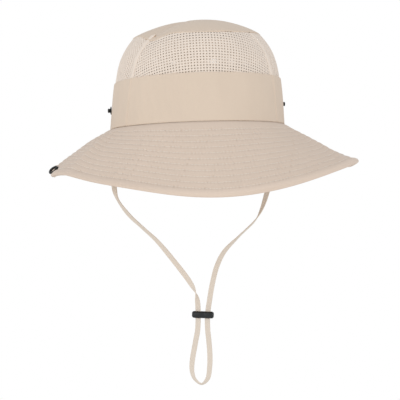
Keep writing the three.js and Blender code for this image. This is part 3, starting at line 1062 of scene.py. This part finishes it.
def brim_side(left):
    label = "left" if left else "right"
    start = math.pi / 2 if left else -math.pi / 2
    angle = np.linspace(start, start + math.pi, BRIM_STEPS)[:, None]
    outline = brim_outline()
    share, depth, face = outline[None, :, 0], outline[None, :, 1], outline[None, :, 2]
    relief = np.where(
        face > 0, brim_relief(angle, share, 1),
        np.where(face < 0, brim_relief(angle, share, -1), 0),
    )
    tuck = -0.5 * MM * bell(share * BRIM_LENGTH, 1.5 * MM)
    out = np.where(face < 0, -depth - relief, -depth + relief) + tuck * (face > 0)
    points = brim_points(angle, share) + brim_normals(angle, share) * out[..., None]
    piece = sweep(f"brim_{label}_quilted", points, BRIM)
    join_to_flap(piece)
    nodes = [f"brim_{layer}_{label}" for layer in ("upper", "interlining", "lower")]
    if left:
        nodes += [f"brim_{layer}_center" for layer in ("upper", "interlining", "lower")]
    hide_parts(*nodes)


def join_to_flap(piece):
    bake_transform(piece)


def stitches(name, centres, along, normal, length, radius, material):
    """One bead of thread for each stitch, half sunk into the cloth."""
    along = along / np.linalg.norm(along, axis=1, keepdims=True)
    normal = normal / np.linalg.norm(normal, axis=1, keepdims=True)
    across = np.cross(along, normal)
    shape = [(-0.5, 0.25, -0.7), (-0.3, 0.9, -0.1), (0.3, 0.9, -0.1), (0.5, 0.25, -0.7)]
    sides = 6
    points, faces = [], []
    count = len(centres)
    for t, r, sink in shape:
        for k in range(sides):
            a = 2 * math.pi * k / sides
            points.append(
                centres + along * (t * length)
                + across * (math.cos(a) * r * radius)
                + normal * ((math.sin(a) * r + sink * 0.6) * radius)
            )
    points = np.stack(points, 1)
    per = points.shape[1]
    base = []
    for i in range(len(shape) - 1):
        for k in range(sides):
            n = (k + 1) % sides
            base.append((i * sides + k, i * sides + n, (i + 1) * sides + n, (i + 1) * sides + k))
    caps = [tuple(range(sides))[::-1], tuple((len(shape) - 1) * sides + k for k in range(sides))]
    for s in range(count):
        for quad in base:
            faces.append(tuple(s * per + q for q in quad))
        for cap in caps:
            faces.append(tuple(s * per + q for q in cap))
    piece = mesh_from(name, points, faces, material)
    return clean(piece, weld=1e-8)


def spaced(line, pitch):
    """Even steps along a dense line: the middle and the direction of each."""
    steps = np.linalg.norm(np.diff(line, axis=0), axis=1)
    run = np.concatenate([[0], np.cumsum(steps)])
    count = max(2, int(run[-1] / pitch))
    at = (np.arange(count) + 0.5) * run[-1] / count
    centre = np.stack([np.interp(at, run, line[:, k]) for k in range(3)], 1)
    ahead = np.stack([np.interp(at + pitch / 4, run, line[:, k]) for k in range(3)], 1)
    behind = np.stack([np.interp(at - pitch / 4, run, line[:, k]) for k in range(3)], 1)
    return centre, ahead - behind


def brim_stitches(left):
    """Every stitch spans two needle holes, which lie where the rows are pulled deepest."""
    label = "left" if left else "right"
    centres, directions, normals = [], [], []
    for row, share in enumerate(ROW_SHARES):
        run = ROW_RUNS[row]
        count = int(abs(run[0] if left else run[-1]) / STITCH_PITCH)
        sign = -1 if left else 1
        at = sign * (np.arange(count) + 0.5) * STITCH_PITCH
        around = np.interp(at, run, ROW_ANGLES) + 1.5 * math.pi
        normal = brim_normals(around, share)
        ahead = brim_points(around + 1e-3, share) - brim_points(around - 1e-3, share)
        for side in (1, -1):
            relief = brim_relief(around, np.full_like(around, share), side)
            out = relief if side > 0 else -BRIM_THICKNESS - relief
            centres.append(brim_points(around, share) + normal * out[:, None])
            directions.append(ahead)
            normals.append(normal * side)
    piece = stitches(
        f"brim_{label}_stitching", np.vstack(centres), np.vstack(directions),
        np.vstack(normals), 2.4 * MM, 0.34 * MM, THREAD,
    )
    join_to_flap(piece)


for is_left in (True, False):
    brim_side(is_left)
    brim_stitches(is_left)


def crown_stitches():
    """Topstitching along both edges of the sweatband."""
    in_from_edge = 3 * MM
    fine = np.linspace(0, 2 * math.pi, 2400)
    low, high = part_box("sweatband")
    inset = float(crown_half(low[2]) - (high[0] - low[0]) / 2) + 1.4 * MM
    centres, directions, normals = [], [], []
    for z in (low[2] + in_from_edge, high[2] - in_from_edge):
        line = crown_points(fine, np.full_like(fine, z), inset)
        centre, direction = spaced(line, STITCH_PITCH)
        centres.append(centre)
        directions.append(direction)
        normals.append(-centre * np.array([1, 1 / ASPECT ** 2, 0]))
    piece = stitches(
        "crown_stitching", np.vstack(centres), np.vstack(directions), np.vstack(normals),
        2.3 * MM, 0.24 * MM, THREAD,
    )
    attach(piece, "hat")


crown_stitches()

# ---- snaps ----------------------------------------------------------------------------

# Heights and sinks are along each part's own axis. The left socket stands a touch nearer
# the edge and turns towards the front, as the tip it sits on does.
LEFT_SOCKET_OUT, LEFT_SOCKET_LIFT, LEFT_SOCKET_TURN = 0.012, 0.1 * MM, -0.14
SNAP_LIFT = 0.4 * MM
STUD_SINK = 0.7 * MM
STUD = [(0, 0), (4.1, 0), (4.2, 0.35), (4.1, 0.7), (3.5, 1.1), (2.6, 1.3), (2.1, 1.6),
        (1.85, 2.2), (2.2, 2.8), (2.15, 3.3), (1.7, 3.75), (0, 3.9)]
SOCKET = [(2.9, 0), (5.3, 0), (5.5, 0.4), (5.4, 0.95), (4.9, 1.6), (4.3, 1.85), (3.8, 1.85),
          (3.3, 1.6), (3.0, 1.1), (2.9, 0.5), (2.9, 0)]
CAP = [(0, 0), (5.3, 0), (5.5, 0.3), (5.2, 0.8), (4.2, 1.2), (2.4, 1.4), (0, 1.5)]
EYELET = [(1.6, 0), (4.4, 0), (4.5, 0.3), (4.3, 0.6), (2.2, 0.6), (1.7, 0.45), (1.6, 0)]


def add_snap_piece(cad, name, profile, body, toward, base=None):
    """One turned part of a snap, on its base point or else in the middle of its CAD box."""
    direction = Vector(toward).normalized()
    if base is None:
        low, high = (Vector(p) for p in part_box(cad))
        base = (low + high) / 2 - direction * (max(h for _, h in profile) * MM / 2)
    piece = lathe(name, round_profile(profile), 48, METAL, base, direction)
    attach(piece, body)
    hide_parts(cad)


def socket_share(cad, angle):
    """How far out on the brim a CAD socket sits, in the middle of a side."""
    low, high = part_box(cad)
    shares = np.linspace(0.5, 1, 500)
    off = np.abs(brim_points(angle, shares)[:, 0] - (low[0] + high[0]) / 2)
    return shares[np.argmin(off)]


for sign, label in ((-1, "left"), (1, "right")):
    left = sign < 0
    low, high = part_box(f"crown_stud_{label}")
    foot = (Vector(low) + Vector(high)) / 2
    foot.x = (high[0] if left else low[0]) - sign * STUD_SINK
    add_snap_piece(f"crown_stud_{label}", f"stud_{label}", STUD, "hat", (sign, 0, 0), foot)
    add_snap_piece(f"stud_eyelet_{label}", f"eyelet_{label}", EYELET, "hat", (-sign, 0, 0))
    angle = np.array(math.pi if left else 0.0)
    share = socket_share(f"brim_socket_{label}", angle) + (LEFT_SOCKET_OUT if left else 0)
    face = brim_points(angle, share)
    up = brim_normals(angle, share)
    facing = up + np.array([0, LEFT_SOCKET_TURN if left else 0, 0])
    above = Vector(face + up * (LEFT_SOCKET_LIFT if left else SNAP_LIFT))
    below = Vector(face - up * (BRIM_THICKNESS + SNAP_LIFT))
    flap = f"{label}_brim_flap"
    add_snap_piece(f"brim_socket_{label}", f"socket_{label}", SOCKET, flap, facing, above)
    add_snap_piece(f"socket_cap_{label}", f"cap_{label}", CAP, flap, -up, below)

# ---- finish ---------------------------------------------------------------------------

bpy.context.view_layer.update()
